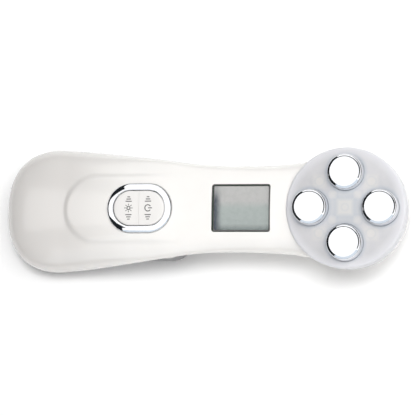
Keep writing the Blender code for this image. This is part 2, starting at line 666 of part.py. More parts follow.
def make_electronics(parts, cutters, finishes):
    """Main board and what it carries, the cell in the hump, the socket and the cables."""
    board_low, board_high = MAIN_BOARD_Z, MAIN_BOARD_Z + BOARD_THICK
    near, far = MAIN_BOARD_X
    board = box("main_board", (near, -MAIN_BOARD_HALF_WIDTH, board_low), (far, MAIN_BOARD_HALF_WIDTH, board_high), parts)
    finish(board, finishes["board"], False)
    top, under = board_high + GAP, board_low - GAP

    def on_board(name, x, y, size, mat, above=True, bevel=0.0):
        low = top if above else under - size[2]
        obj = box(name, (x - size[0] / 2, y - size[1] / 2, low), (x + size[0] / 2, y + size[1] / 2, low + size[2]),
                  parts, bevel)
        return finish(obj, finishes[mat], False)

    for name, side in (("led_select_switch", -1), ("power_switch", 1)):
        x = KEY_X + side * KEY_POST_X
        switch = on_board(name, x, 0, (6.0, 6.0, 1.6), "steel")
        plunger = cylinder("plunger", (x, 0, top + 1.6), 1.3, 1.2, cutters, 12)
        boolean(switch, plunger, "UNION")
        finish(switch, finishes["steel"], False)
    on_board("rf_transformer", -2.5, 0, (10.0, 10.0, 4.2), "black", bevel=0.3)
    on_board("controller_chip", 20.0, 0, (7.0, 7.0, 1.2), "black", above=False)
    on_board("power_inductor", 28.5, 0, (7.0, 7.0, 3.0), "black", above=False, bevel=0.4)
    on_board("battery_plug", -41.5, 0, (5.0, 6.4, 1.7), "milk")
    for k, y in enumerate((-6.0, 6.0), 1):
        can = cylinder(f"capacitor_{k}", (10.0, y, under - 1.7), 2.5, 3.4, parts, 16)
        finish(can, finishes["steel"])
    buzzer = cylinder("buzzer", (0, 0, under - 1.0), 4.5, 2.0, parts, 24)
    finish(buzzer, finishes["black"])

    cell_near, cell_far = CELL_X
    cell = cylinder("battery_cell", ((cell_near + cell_far) / 2, 0, CELL_Z), CELL_RADIUS, cell_far - cell_near,
                    parts, 20, "X")
    add_bevel(cell, 0.5)
    finish(cell, finishes["cell"])
    cradle = box("battery_cradle", (cell_near + 4, -8.6, WALL + GAP), (cell_far - 4, 8.6, CELL_Z - 1.5), parts)
    room = cylinder("cell_room", ((cell_near + cell_far) / 2, 0, CELL_Z), CELL_RADIUS + GAP, 60, cutters, 20, "X")
    boolean(cradle, room, "DIFFERENCE")
    finish(cradle, finishes["black"], False)
    for name, x in (("battery_tab_positive", cell_near - GAP - 0.4), ("battery_tab_negative", cell_far + GAP)):
        tab = box(name, (x, -2.5, CELL_Z - 4.0), (x + 0.4, 2.5, CELL_Z + 4.0), parts)
        finish(tab, finishes["steel"], False)

    start, end_x, lead_z = cell_near - GAP - 0.4 - 1.3, -44.0 - GAP - 0.1, top + 0.85
    red_path = [(start, 0, CELL_Z), (start, 1.0, 14), (start + 1.2, 1.8, 17.2), (-57, 2.0, 19.2), (-52, 2.0, 20.6),
                (-48, 2.0, lead_z), (end_x, 2.0, lead_z)]
    finish(wire("battery_lead_red", red_path, 0.5, parts), finishes["red"])
    black_path = [(cell_far + 1.5, -1.5, CELL_Z + 2), (cell_far + 1.6, -6.0, 13.5), (-14, -8.6, 17.2),
                  (-24, -9.2, 17.9), (-38, -9.0, 18.0), (-44.6, -7.0, 18.3), (-46.6, -4.0, 19.4),
                  (-47.0, -2.4, 20.8), (-46.0, -2.0, lead_z), (end_x, -2.0, lead_z)]
    finish(wire("battery_lead_black", black_path, 0.5, parts), finishes["black"])

    length, width, height = SOCKET_SIZE
    mouth = SOCKET_MOUTH_X
    socket = box("charge_socket", (mouth, -width / 2, SOCKET_Z - height / 2),
                 (mouth + length, width / 2, SOCKET_Z + height / 2), parts, 0)
    hollow = box("hollow", (mouth - 5, -width / 2 + SOCKET_WALL, SOCKET_Z - height / 2 + SOCKET_WALL),
                 (mouth + length - 1.0, width / 2 - SOCKET_WALL, SOCKET_Z + height / 2 - SOCKET_WALL), cutters)
    boolean(socket, hollow, "DIFFERENCE")
    finish(socket, finishes["steel"], False)
    charge_board = box("charge_board", (-81.0, -6.0, SOCKET_Z - height / 2 - GAP - 1.0),
                       (-70.0, 6.0, SOCKET_Z - height / 2 - GAP), parts)
    finish(charge_board, finishes["board"], False)

    cable = [(30.5, board_high + 0.5), (35.5, board_high + 0.4), (39.0, 19.8), (42.0, 19.4), (43.9, 20.4),
             (44.3, 22.5), (44.3, LAMP_BOARD_Z - GAP)]
    finish(strip("head_cable", cable, 7.0, 0.3, parts), finishes["cable"], False)


def make_screws(parts, cutters, finishes):
    """Self-tapping screws, with a cross in each head."""
    for k, (x, y, seat, end) in enumerate(SCREWS, 1):
        low = seat - GAP
        profile = [(0, end), (SCREW_SHANK_RADIUS * 0.5, end), (SCREW_SHANK_RADIUS, end - 1.2), (SCREW_SHANK_RADIUS, low),
                   (SCREW_HEAD_RADIUS, low), (SCREW_HEAD_RADIUS, low - 0.8), (SCREW_HEAD_RADIUS - 0.5, low - 1.4),
                   (0, low - 1.4)]
        screw = turned(f"case_screw_{k}", profile, (x, y), parts, 12)
        for size in ((1.3, 0.3), (0.3, 1.3)):
            cross = box("cross", (x - size[0], y - size[1], low - 3), (x + size[0], y + size[1], low - 0.7), cutters)
            boolean(screw, cross, "DIFFERENCE")
        finish(screw, finishes["steel"], False)


def main():
    for obj in list(bpy.data.objects):
        bpy.data.objects.remove(obj)
    parts = bpy.data.collections.new("facial_device")
    cutters = bpy.data.collections.new("cutters")
    for collection in (parts, cutters):
        bpy.context.scene.collection.children.link(collection)
    finishes = {
        "white": material("warm_white_plastic", (0.86, 0.85, 0.82), 0.22),
        "frosted": material("frosted_cap", (0.78, 0.79, 0.82), 0.35, alpha=0.6),
        "chrome": material("chrome_plate", (0.86, 0.87, 0.89), 0.05, 1.0),
        "clear": material("clear_window", (0.85, 0.9, 0.9), 0.05, alpha=0.3),
        "lcd": material("lcd_glass", (0.5, 0.56, 0.54), 0.3),
        "milk": material("milky_plastic", (0.9, 0.9, 0.86), 0.4),
        "black": material("black_plastic", (0.03, 0.03, 0.03), 0.5),
        "rubber": material("grey_rubber", (0.3, 0.3, 0.31), 0.8),
        "steel": material("plated_steel", (0.6, 0.6, 0.6), 0.3, 1.0),
        "brass": material("brass", (0.75, 0.6, 0.3), 0.3, 1.0),
        "board": material("green_board", (0.03, 0.2, 0.1), 0.4),
        "white_board": material("white_board", (0.75, 0.8, 0.8), 0.4),
        "cell": material("cell_wrap", (0.1, 0.25, 0.55), 0.35),
        "cable": material("amber_film", (0.6, 0.33, 0.08), 0.3),
        "red": material("red_wire", (0.6, 0.03, 0.03), 0.5),
    }
    finish(make_front_shell(parts, cutters), finishes["white"])
    finish(make_back_shell(parts, cutters), finishes["white"])
    make_keys(parts, cutters, finishes)
    make_display(parts, cutters, finishes)
    make_head(parts, cutters, finishes)
    make_electronics(parts, cutters, finishes)
    make_screws(parts, cutters, finishes)


main()
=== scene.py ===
"""Looks of the facial skin care device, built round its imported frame."""
import json
from math import cos, pi, radians, sin, tan

import bmesh
import bpy
from mathutils import Matrix, Vector


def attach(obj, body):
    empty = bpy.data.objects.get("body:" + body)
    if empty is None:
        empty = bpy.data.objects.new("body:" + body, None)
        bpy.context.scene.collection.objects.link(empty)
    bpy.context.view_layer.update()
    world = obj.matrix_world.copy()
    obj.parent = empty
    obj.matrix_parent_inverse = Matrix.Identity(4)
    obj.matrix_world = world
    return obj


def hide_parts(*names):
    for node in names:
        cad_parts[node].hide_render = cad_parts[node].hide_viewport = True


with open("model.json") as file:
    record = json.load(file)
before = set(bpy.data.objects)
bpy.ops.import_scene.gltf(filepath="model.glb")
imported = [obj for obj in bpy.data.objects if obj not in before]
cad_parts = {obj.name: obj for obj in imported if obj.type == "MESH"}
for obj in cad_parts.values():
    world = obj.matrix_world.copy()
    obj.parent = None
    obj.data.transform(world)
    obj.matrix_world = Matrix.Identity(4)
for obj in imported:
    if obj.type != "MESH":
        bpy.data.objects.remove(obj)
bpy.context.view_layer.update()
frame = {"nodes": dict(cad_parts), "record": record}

MM = 0.001
# Lengths below are in millimetres. Tables hold (x, value) pairs.
GAP = 0.3            # between the CAD's pieces
CAP_SLIT = 0.03      # visible slits, tighter than the CAD's gap
ELECTRODE_SLIT = 0.08
BEZEL_SLIT = 0.12
KEY_SLIT = 0.06
LENS_SLIT = 0.08
WALL = 2.0

# Body, as the CAD has it
BUTT_X = -90.0
BUTT_ROUND = 25.0
SHOULDER_X = BUTT_X + BUTT_ROUND
BUTT_POWER = 2.4
HALF_WIDTHS = ((SHOULDER_X, 27.0), (-50, 25.7), (-30, 23.2), (-14, 21.0), (0, 19.2),
               (14, 18.6), (28, 18.8), (39, 19.4), (48, 20.6), (58, 21.0))
SEAM_HEIGHTS = ((BUTT_X, 9.0), (-67, 9.6), (-50, 12.5), (-40, 15.5), (-30, 18.8), (-20, 21.4),
                (-10, 22.7), (4, 22.8), (20, 22.0), (36, 21.0), (58, 21.0))
CROWN_HEIGHTS = ((BUTT_X, 17.6), (SHOULDER_X, 21.6), (-50, 24.3), (-40, 25.6), (-30, 26.6), (-15, 27.8),
                 (0, 28.6), (15, 29.0), (39, 29.3), (58, 29.3))
NECK_FLOORS = ((BUTT_X, 5.0), (-40, 7.0), (-20, 10.0), (-2, 12.0), (20, 12.6), (36, 12.4), (58, 12.0))
FRONT_POWER = 2.3
NECK_POWER = 2.4
HUMP_POWER = 5.0
NOSE_POWER = 2.4
HUMP_WIDTH_X = -28.0
HUMP_CENTRE_X = -16.0
HUMP_FRONT = 12.5
HUMP_TAPER = 0.07
HUMP_INSET = 0.5
HUMP_OVERRUN = 0.5
BLEND = 3.0
ISLAND_END_X = -60.3
ISLAND_FADE_X = -2.0
ISLAND_HALF_WIDTH = 14.4
ISLAND_HEIGHT = 0.95
ISLAND_EDGE = 2.6
HEAD_RADIUS = 25.7
HEAD_X = 64.3
HEAD_SEAM = 21.0
BOWL_POWER = 2.3
BOWL_OVERRUN = 0.5
CAP_WALL = 1.8
CAP_SHOULDER_Z = 29.4
CAP_EDGE_RADIUS = 24.3
CAP_EDGE_Z = 30.5
CAP_TOP_Z = 32.6
ELECTRODE_CIRCLE = 14.9
ELECTRODE_RADIUS = 7.9
ELECTRODE_TOP_Z = 35.8
ELECTRODE_BASE_Z = 29.3
STEM_RADIUS = 1.8
STEM_END_Z = 18.6
KEY_X = -25.9
KEY_LEAN = radians(3.5)
KEY_SURFACE_Z = 27.7
BEZEL_HALF_STRAIGHT = 3.9
BEZEL_RADIUS = 10.7
BEZEL_WIDTH = 2.9
BEZEL_RISE = 1.1
BEZEL_DEPTH = 2.2
BEZEL_STEPS = 14
KEY_DEPTH = 2.6
DISPLAY_X = 18.85
DISPLAY_HALF_LENGTH = 12.8
DISPLAY_HALF_WIDTH = 10.25
DISPLAY_CORNER = 1.1
LENS_THICK = 1.2
LENS_SINK = 0.12        # depth of the lens below the front's curve
LENS_FLOOR = 0.1 + LENS_THICK
SCREEN_HALF_LENGTH = 11.9
SCREEN_HALF_WIDTH = 9.38
SCREEN_SHIFT = (-0.12, 0.12)    # off the centre of the display, along X and Y
SCREEN_LOW_Z = 26.25
SCREEN_EDGE_Z = 26.55
SCREEN_TOP_Z = 26.65
SCREEN_BEVEL = 0.12
SOCKET_Z = 6.2
SOCKET_MOUTH_X = -88.3
SOCKET_SIZE = (7.0, 7.4, 2.8)
SCREWS = ((-73.0, 12.0, 3.4), (-73.0, -12.0, 3.4), (36.5, 10.5, 15.6), (36.5, -10.5, 15.6))
SCREW_HEAD_RADIUS = 2.1
SCREW_SHANK_RADIUS = 1.0
BOSS_RADIUS = 3.6
NECK_BOSS_FOOT = 1.0    # depth of a boss below its screw's seat
BUTT_BOSS_FOOT = 2.4


# ---------------------------------------------------------------- surfaces

def smooth_table(table, x):
    """Cubic through the table's points, flat beyond its ends."""
    if x <= table[0][0]:
        return table[0][1]
    if x >= table[-1][0]:
        return table[-1][1]
    i = next(k for k in range(1, len(table)) if x <= table[k][0]) - 1
    (x0, y0), (x1, y1) = table[i], table[i + 1]

    def slope(k):
        lo, hi = max(k - 1, 0), min(k + 1, len(table) - 1)
        return (table[hi][1] - table[lo][1]) / (table[hi][0] - table[lo][0])

    span = x1 - x0
    t = (x - x0) / span
    return ((2 * t**3 - 3 * t**2 + 1) * y0 + (t**3 - 2 * t**2 + t) * span * slope(i)
            + (3 * t**2 - 2 * t**3) * y1 + (t**3 - t**2) * span * slope(i + 1))


def superellipse(u, power):
    """Height over a unit superellipse at u, from 1 at 0 to 0 at 1."""
    return max(0.0, 1.0 - min(abs(u), 1.0) ** power) ** (1.0 / power)


def smoothstep(u):
    u = min(max(u, 0.0), 1.0)
    return u * u * (3 - 2 * u)


def butt_round(x, inset):
    """Share of the full section that is left at x, as the butt rounds off."""
    if x >= SHOULDER_X:
        return 1.0
    return superellipse((SHOULDER_X - x) / (BUTT_ROUND - inset), BUTT_POWER)


def island_rise(x, y):
    """Height of the raised island over the front surface."""
    round_x = ISLAND_END_X + ISLAND_HALF_WIDTH
    if x < round_x:
        reach = ISLAND_HALF_WIDTH - Vector((x - round_x, y)).length
    else:
        reach = ISLAND_HALF_WIDTH - abs(y)
    fade = 1.0 - smoothstep((x - KEY_X) / (ISLAND_FADE_X - KEY_X))
    return ISLAND_HEIGHT * fade * smoothstep(reach / ISLAND_EDGE + 0.5)


def front_arc(x, inset, steps):
    """Points over the front at x, from -Y to +Y."""
    end = butt_round(x, inset)
    width = (smooth_table(HALF_WIDTHS, x) - inset) * end
    seam = smooth_table(SEAM_HEIGHTS, x)
    rise = (smooth_table(CROWN_HEIGHTS, x) - seam - inset) * end
    points = []
    for k in range(steps + 1):
        a = pi * k / steps
        y = -width * abs(cos(a)) ** (2 / FRONT_POWER) * (1 if cos(a) > 0 else -1)
        z = seam + rise * max(sin(a), 0.0) ** (2 / FRONT_POWER)
        if inset < WALL:
            z += island_rise(x, y)
        points.append((y, z))
    return points


def blended(a, b, reach):
    """The larger of two values, rounded off where they are closer than reach."""
    return max(a, b) + max(reach - abs(a - b), 0.0) ** 2 / (4 * reach + 1e-9)


def back_arc(x, inset, steps):
    """Points under the back at x, from +Y to -Y: rows down the neck, then rows down the hump."""
    end = butt_round(x, inset)
    seam = smooth_table(SEAM_HEIGHTS, x)
    width = (smooth_table(HALF_WIDTHS, x) - inset) * end
    neck_depth = (seam - smooth_table(NECK_FLOORS, x) - inset) * end
    neck_floor = max(seam - neck_depth, inset)
    behind = min(x, HUMP_WIDTH_X)
    hump_top = smooth_table(SEAM_HEIGHTS, behind)
    hump_depth = (hump_top + HUMP_OVERRUN - inset) * end
    hump_width = (smooth_table(HALF_WIDTHS, behind) - inset - HUMP_INSET) * end
    ahead = max(x - HUMP_CENTRE_X, 0.0) / (HUMP_FRONT - inset)

    def hump_half(z):
        flank = superellipse(max(hump_top - z, 0.0) / hump_depth, HUMP_POWER)
        taper = 1 - HUMP_TAPER * z / hump_top
        if flank <= ahead:
            return 0.0
        return hump_width * taper * flank * superellipse(ahead / flank, NOSE_POWER)

    low = min(neck_floor, max(hump_top - hump_depth * superellipse(ahead, HUMP_POWER), inset))
    half = []
    for k in range(steps + 1):
        a = pi / 2 * k / steps
        drop = sin(a) ** (2 / NECK_POWER)
        z = max(seam - neck_depth * drop, inset)
        neck_half = width * max(cos(a), 0.0) ** (2 / NECK_POWER)
        half.append((blended(neck_half, hump_half(z), BLEND * drop ** 2), z))
    for k in range(1, steps + 1):
        z = neck_floor + (low - neck_floor) * sin(pi / 2 * k / steps)
        half.append((hump_half(z), z) if low < neck_floor else (0.0, neck_floor))
    return half + [(-y, z) for y, z in reversed(half)]


def station_places(first, last, butt_steps, step):
    """X places of the sections, close together at the butt and at the hump's nose."""
    butt = [SHOULDER_X - (SHOULDER_X - first) * cos(pi / 2 * k / butt_steps)
            for k in range(butt_steps + 1)]
    count = round((HUMP_CENTRE_X - SHOULDER_X) / step)
    straight = [SHOULDER_X + (HUMP_CENTRE_X - SHOULDER_X) * k / count for k in range(1, count + 1)]
    nose = round(HUMP_FRONT / step * 1.7)
    front = [HUMP_CENTRE_X + HUMP_FRONT * sin(pi / 2 * k / nose) for k in range(1, nose + 1)]
    start = front[-1]
    count = round((last - start) / step)
    neck = [start + (last - start) * k / count for k in range(1, count + 1)]
    return butt + straight + front + neck


# ---------------------------------------------------------------- mesh makers

def new_object(name, bm):
    """Object from a bmesh, with its normals facing outwards."""
    bmesh.ops.remove_doubles(bm, verts=bm.verts, dist=1e-7)
    bmesh.ops.recalc_face_normals(bm, faces=bm.faces)
    mesh = bpy.data.meshes.new(name)
    bm.to_mesh(mesh)
    bm.free()
    obj = bpy.data.objects.new(name, mesh)
    bpy.context.scene.collection.objects.link(obj)
    return obj


def tube(bm, rings, closed=False):
    """Skin over rings of points, all of one length, with flat ends unless the tube closes on itself."""
    loops = [[bm.verts.new(Vector(p) * MM) for p in ring] for ring in rings]
    count = len(loops[0])
    following = loops[1:] + loops[:1] if closed else loops[1:]
    for near, far in zip(loops, following):
        for k in range(count):
            n = (k + 1) % count
            bm.faces.new((near[k], near[n], far[n], far[k]))
    if not closed:
        bm.faces.new(list(reversed(loops[0])))
        bm.faces.new(loops[-1])


def loft(name, rings, closed=False):
    bm = bmesh.new()
    tube(bm, rings, closed)
    return new_object(name, bm)


def half_body(name, front, inset, overrun, arc_steps, step, last=58.0):
    """Solid of one half of the handle, closed at the seam, which it passes by overrun."""
    first = BUTT_X + inset + 0.02
    side = 1 if front else -1
    rings = []
    for x in station_places(first, last - inset * 0.01, max(8, round(16 / step)), step):
        arc = front_arc(x, inset, arc_steps) if front else back_arc(x, inset, arc_steps)
        level = smooth_table(SEAM_HEIGHTS, x) - side * overrun
        arc[0] = (arc[0][0], level)
        arc[-1] = (arc[-1][0], level)
        rings.append([(x, y, z) for y, z in arc])
    return loft(name, rings)


def turned(name, profile, centre, steps=96, closed=False):
    """Solid of revolution about a vertical axis; the profile starts and ends on the axis, or is a loop."""
    bm = bmesh.new()
    columns = []
    for i in range(steps):
        a = 2 * pi * i / steps
        columns.append([bm.verts.new(Vector((r * cos(a), r * sin(a), z)) * MM) for r, z in profile])
    links = list(range(1, len(profile))) + ([0] if closed else [])
    for i, column in enumerate(columns):
        following = columns[(i + 1) % steps]
        for k, n in enumerate(links):
            bm.faces.new((column[k], following[k], following[n], column[n]))
    obj = new_object(name, bm)
    obj.location = Vector((centre[0], centre[1], 0)) * MM
    return obj


def cylinder(name, centre, radius, low, high, steps=48):
    return turned(name, [(0, high), (radius, high), (radius, low), (0, low)], centre, steps)


def round_end(side, half_straight, radius, steps):
    """Half circle that closes a stadium outline at its -X or +X end, anticlockwise."""
    angles = [pi * k / steps - pi / 2 for k in range(steps + 1)]
    return [(side * (half_straight + radius * cos(a)), side * radius * sin(a)) for a in angles]


def stadium(half_straight, radius, steps=32):
    return round_end(1, half_straight, radius, steps) + round_end(-1, half_straight, radius, steps)


def rounded_rectangle(half_length, half_width, radius, steps=8):
    points = []
    for quarter, (sx, sy) in enumerate(((1, 1), (-1, 1), (-1, -1), (1, -1))):
        for k in range(steps + 1):
            a = pi / 2 * (quarter + k / steps)
            points.append((sx * (half_length - radius) + radius * cos(a),
                           sy * (half_width - radius) + radius * sin(a)))
    return points


def prism(name, outline, low, high):
    return loft(name, [[(x, y, z) for x, y in outline] for z in (low, high)])


def box(name, low, high):
    outline = [(low[0], low[1]), (high[0], low[1]), (high[0], high[1]), (low[0], high[1])]
    return prism(name, outline, low[2], high[2])


def boolean(target, tool, operation):
    """Apply the target's modifiers and a Boolean, and drop the tool."""
    modifier = target.modifiers.new(operation.title(), "BOOLEAN")
    modifier.operation = operation
    modifier.solver = "EXACT"
    modifier.object = tool
    bake(target)
    bpy.data.objects.remove(tool)


def bake(obj):
    """Put the result of an object's modifiers in its mesh."""
    mesh = bpy.data.meshes.new_from_object(obj.evaluated_get(bpy.context.evaluated_depsgraph_get()))
    obj.modifiers.clear()
    old = obj.data
    obj.data = mesh
    bpy.data.meshes.remove(old)


def settle(obj):
    """Move an object's place and turn into its mesh."""
    bpy.context.view_layer.update()
    obj.data.transform(obj.matrix_world)
    obj.matrix_world = Matrix.Identity(4)
    return obj


def done(obj, mat, body, slot, *nodes, angle=32):
    """Shade, colour and attach a finished piece to its body, and hide the CAD nodes it stands for."""
    settle(obj)
    obj.data.materials.clear()
    obj.data.materials.append(mat)
    obj.data.shade_smooth()
    obj.data.set_sharp_from_angle(angle=radians(angle))
    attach(obj, body)
    if nodes:
        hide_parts(*nodes)
    return obj


# ---------------------------------------------------------------- materials

def linear(*rgb):
    """Scene colour for an 8-bit display colour."""
    return tuple((c / 255 / 12.92) if c <= 10 else ((c / 255 + 0.055) / 1.055) ** 2.4 for c in rgb)


CAP_DARK = linear(200, 200, 203)
CAP_LIGHT = linear(210, 209, 211)
# painted shade: the bluish look of the lamp board and lamp rims seen through the cap
CAP_BLUE = linear(184, 191, 199)
# painted shade: the dark blue halo round each electrode
CAP_HALO_SHADE = linear(160, 172, 186)
# painted highlight: lighter bands round the cap's rim and down its side
CAP_RIM_HIGHLIGHT = linear(221, 221, 225)
CAP_SIDE_HIGHLIGHT = linear(236, 236, 240)
# painted light: the warm squares of the lamps seen through the cap
CAP_WARM = linear(221, 218, 214)
# painted shading on the display face: darker at -Y, lighter and warmer towards +Y
SCREEN_LOW = linear(152, 162, 160)
SCREEN_MID = linear(190, 199, 196)
SCREEN_TOP = linear(211, 211, 209)
# painted reflection: the dark blue band down the display's -X side
SCREEN_BLUE = linear(62, 71, 86)
SCREEN_CELLS = (0.2, 0.22, 0.22)
SCREEN_SHADE_HALF = 8.6    # reach of the shading along Y, from the middle
BODY_DARK = linear(238, 236, 233)
BODY_LIGHT = linear(242, 240, 237)
# painted shade: the greyer white of the butt end, where its surface turns from the light
BODY_BUTT_SHADE = linear(225, 222, 219)
BUTT_SHADE_SPAN = (-60, -31)    # X places between which the painted shade of the butt fades
FOOT_DARK = (0.15, 0.15, 0.155)
FOOT_LIGHT = (0.20, 0.20, 0.205)
# Two lines, each by its (x, z) ends, that the grey of the hump's foot stays under
FOOT_RISE = ((-62.0, 5.0), (-18.0, 17.5))
FOOT_FALL = ((-9.0, 18.0), (1.4, -0.6))
# Centre, half size, softness and strength of the warm squares under the cap, painted light of the lamps seen
# through it
CAP_SQUARES = ((0.0, 3.3, 0.9, 0.7), (5.3, 1.3, 0.7, 0.5), (11.0, 2.6, 1.1, 0.6))
# Centre, radius and strength of the faint rings round the lamps, painted shade of their rims seen through
# the cap
CAP_RINGS = ((0.0, 1.5, 0.2), (11.0, 2.0, 0.24), (5.3, 2.3, 0.18))
CAP_HALO_SHADE_REACH = (0.1, 1.7)    # reach of the painted shade round an electrode, past its edge
# radii from the head's centre of the painted highlight bands
CAP_RIM_HIGHLIGHT_BAND = (21.5, 25.0)
CAP_SIDE_HIGHLIGHT_BAND = (24.6, 25.6)


class Surface:
    """A node material on Principled, with helpers that feed its colour, roughness and bump."""

    def __init__(self, name, **constants):
        self.mat = bpy.data.materials.new(name)
        self.mat.use_nodes = True
        self.tree = self.mat.node_tree
        self.shader = self.tree.nodes["Principled BSDF"]
        for key, value in constants.items():
            self.shader.inputs[key.replace("_", " ")].default_value = value
        self.place = self.tree.nodes.new("ShaderNodeTexCoord").outputs["Object"]

    def link(self, a, b):
        self.tree.links.new(a, b)

    def noise(self, scale, detail=3.0, roughness=0.5, stretch=None):
        """Noise over the object's own coordinates; scale is per metre."""
        node = self.tree.nodes.new("ShaderNodeTexNoise")
        node.inputs["Scale"].default_value = scale
        node.inputs["Detail"].default_value = detail
        node.inputs["Roughness"].default_value = roughness
        place = self.place
        if stretch:
            mapping = self.tree.nodes.new("ShaderNodeMapping")
            mapping.inputs["Scale"].default_value = stretch
            self.link(place, mapping.inputs["Vector"])
            place = mapping.outputs["Vector"]
        self.link(place, node.inputs["Vector"])
        return node.outputs["Fac"]

    def ramp(self, value, *stops):
        node = self.tree.nodes.new("ShaderNodeValToRGB")
        elements = node.color_ramp.elements
        while len(elements) < len(stops):
            elements.new(0.5)
        for element, (position, colour) in zip(elements, stops):
            element.position = position
            element.color = (*colour, 1)
        self.link(value, node.inputs["Fac"])
        return node.outputs["Color"]

    def span(self, value, low, high, out_low, out_high):
        node = self.tree.nodes.new("ShaderNodeMapRange")
        limits = {"From Min": low, "From Max": high, "To Min": out_low, "To Max": out_high}
        for key, number in limits.items():
            node.inputs[key].default_value = number
        self.link(value, node.inputs["Value"])
        return node.outputs["Result"]

    def math(self, operation, a, b=None):
        node = self.tree.nodes.new("ShaderNodeMath")
        node.operation = operation
        for socket, value in zip(node.inputs, (a, b)):
            if value is None:
                continue
            if isinstance(value, (int, float)):
                socket.default_value = value
            else:
                self.link(value, socket)
        return node.outputs[0]

    def mix(self, factor, a, b):
        node = self.tree.nodes.new("ShaderNodeMix")
        node.data_type = "RGBA"
        for key, value in (("Factor", factor), ("A", a), ("B", b)):
            socket = node.inputs[key]
            if isinstance(value, (int, float)):
                socket.default_value = value
            elif isinstance(value, tuple):
                socket.default_value = (*value, 1)
            else:
                self.link(value, socket)
        return node.outputs["Result"]

    def colour(self, output):
        self.link(output, self.shader.inputs["Base Color"])
        return self

    def rough(self, output):
        self.link(output, self.shader.inputs["Roughness"])
        return self

    def bump(self, height, distance, strength=1.0):
        node = self.tree.nodes.new("ShaderNodeBump")
        node.inputs["Distance"].default_value = distance
        node.inputs["Strength"].default_value = strength
        self.link(height, node.inputs["Height"])
        self.link(node.outputs["Normal"], self.shader.inputs["Normal"])
        return self

    def axis(self, name):
        node = self.tree.nodes.new("ShaderNodeSeparateXYZ")
        self.link(self.place, node.inputs[0])
        return node.outputs[name]


def moulded(name, dark, light, rough, coat=0.0, grain=2600, depth=2e-6, **constants):
    """Moulded plastic: faint cloudiness, uneven gloss and a fine skin."""
    s = Surface(name, Coat_Weight=coat, Coat_Roughness=0.05, **constants)
    s.colour(s.ramp(s.noise(60, 4), (0.3, dark), (0.7, light)))
    s.rough(s.span(s.noise(240, 3), 0.3, 0.7, rough * 0.85, rough * 1.2))
    return s.bump(s.noise(grain, 2), depth).mat


def plated(name, dark, light, rough, depth=1.5e-6):
    """Bright plating with a little haze and hairline polish marks."""
    s = Surface(name, Metallic=1.0)
    s.colour(s.ramp(s.noise(90, 3), (0.3, dark), (0.7, light)))
    s.rough(s.span(s.noise(500, 4), 0.3, 0.75, rough * 0.6, rough * 1.6))
    return s.bump(s.noise(1800, 2), depth).mat


def brushed(name, dark, light, rough):
    """Drawn metal with fine lines along X."""
    s = Surface(name, Metallic=1.0)
    lines = s.noise(900, 3, stretch=(0.08, 1, 1))
    s.colour(s.ramp(lines, (0.3, dark), (0.7, light)))
    s.rough(s.span(lines, 0.3, 0.7, rough * 0.7, rough * 1.4))
    return s.bump(lines, 6e-6).mat


def circuit(name, dark, light, trace):
    """Circuit board: solder mask over a grid of tracks."""
    s = Surface(name, Coat_Weight=0.3, Coat_Roughness=0.2)
    brick = s.tree.nodes.new("ShaderNodeTexBrick")
    brick.inputs["Scale"].default_value = 260
    brick.inputs["Mortar Size"].default_value = 0.03
    s.link(s.place, brick.inputs["Vector"])
    base = s.ramp(s.noise(300, 3), (0.3, dark), (0.7, light))
    s.colour(s.mix(brick.outputs["Fac"], base, trace))
    s.rough(s.span(s.noise(700, 2), 0.3, 0.7, 0.3, 0.5))
    return s.bump(brick.outputs["Fac"], 2e-5).mat


def body_white_with_butt_shade(s):
    """The body's white, with painted shade: a little greyer towards the butt, where the surface turns from
    the light.
    """
    cloudy = s.ramp(s.noise(60, 4), (0.3, BODY_DARK), (0.7, BODY_LIGHT))
    # painted shade: the white greys towards the butt
    return s.mix(s.span(s.axis("X"), BUTT_SHADE_SPAN[0] * MM, BUTT_SHADE_SPAN[1] * MM, 1.0, 0.0), cloudy, BODY_BUTT_SHADE)


def body_plastic():
    s = Surface("glossy_white_plastic", Coat_Weight=0.6, Coat_Roughness=0.05, Subsurface_Weight=0.08,
                Subsurface_Radius=(0.003, 0.0028, 0.0025), Subsurface_Scale=0.4)
    s.colour(body_white_with_butt_shade(s))
    s.rough(s.span(s.noise(240, 3), 0.3, 0.7, 0.17, 0.24))
    return s.bump(s.noise(2600, 2), 2e-6).mat


def back_plastic():
    """The body's white plastic, grey and duller round the foot of the hump, low down by the floor."""
    s = Surface("white_plastic_grey_foot", Coat_Weight=0.3, Coat_Roughness=0.1)
    white = body_white_with_butt_shade(s)
    grey = s.ramp(s.noise(900, 3), (0.3, FOOT_DARK), (0.7, FOOT_LIGHT))
    rising, falling = (s.span(s.axis("X"), x0 * MM, x1 * MM, z0 * MM, z1 * MM)
                       for (x0, z0), (x1, z1) in (FOOT_RISE, FOOT_FALL))
    over = s.math("SUBTRACT", s.axis("Z"), s.math("MINIMUM", rising, falling))
    foot = s.span(over, 0.0, 0.15 * MM, 1.0, 0.0)
    s.colour(s.mix(foot, white, grey))
    s.rough(s.span(foot, 0.0, 1.0, 0.2, 0.65))
    return s.bump(s.noise(2600, 2), 3e-6).mat


